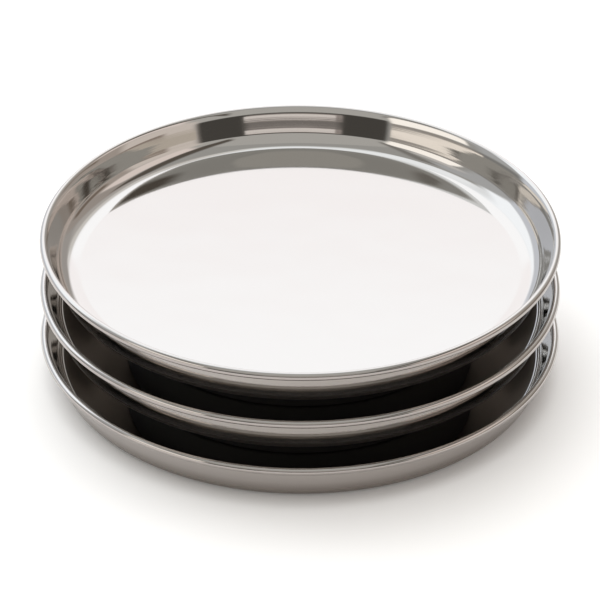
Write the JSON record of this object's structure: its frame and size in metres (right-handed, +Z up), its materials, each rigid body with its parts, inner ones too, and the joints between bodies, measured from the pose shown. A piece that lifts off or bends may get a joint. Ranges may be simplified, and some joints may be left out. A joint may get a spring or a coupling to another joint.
{
  "type": "thali plate",
  "caption": "Stack of round double-walled thali plates in polished stainless sheet, each a dish and a shell held by one rolled rim, kept apart by rubber rings and free to lift off.",
  "frame": {"origin": "centre of the bottom plate's underside, on the surface that the stack stands on", "axes": "+Z up along the common axis of the plates"},
  "size_m": [0.3, 0.3, 0.0894],
  "materials": {
    "polished_steel": "mirror polished stainless sheet",
    "black_rubber": "matte moulded rubber"
  },
  "bodies": {
    "bottom_plate": {"bottom_plate": "polished_steel", "bottom_shell": "polished_steel"},
    "lower_riser": {"lower_riser": "black_rubber"},
    "middle_plate": {"middle_plate": "polished_steel", "middle_shell": "polished_steel"},
    "upper_riser": {"upper_riser": "black_rubber"},
    "top_plate": {"top_plate": "polished_steel", "top_shell": "polished_steel"}
  },
  "joints": [
    {"name": "lower_riser_lift", "type": "slide", "parent": "bottom_plate", "child": "lower_riser", "axis": [0, 0, 1], "range_m": [0, 0.05]},
    {"name": "middle_plate_lift", "type": "slide", "parent": "lower_riser", "child": "middle_plate", "axis": [0, 0, 1], "range_m": [0, 0.1]},
    {"name": "upper_riser_lift", "type": "slide", "parent": "middle_plate", "child": "upper_riser", "axis": [0, 0, 1], "range_m": [0, 0.05]},
    {"name": "top_plate_lift", "type": "slide", "parent": "upper_riser", "child": "top_plate", "axis": [0, 0, 1], "range_m": [0, 0.1]}
  ]
}
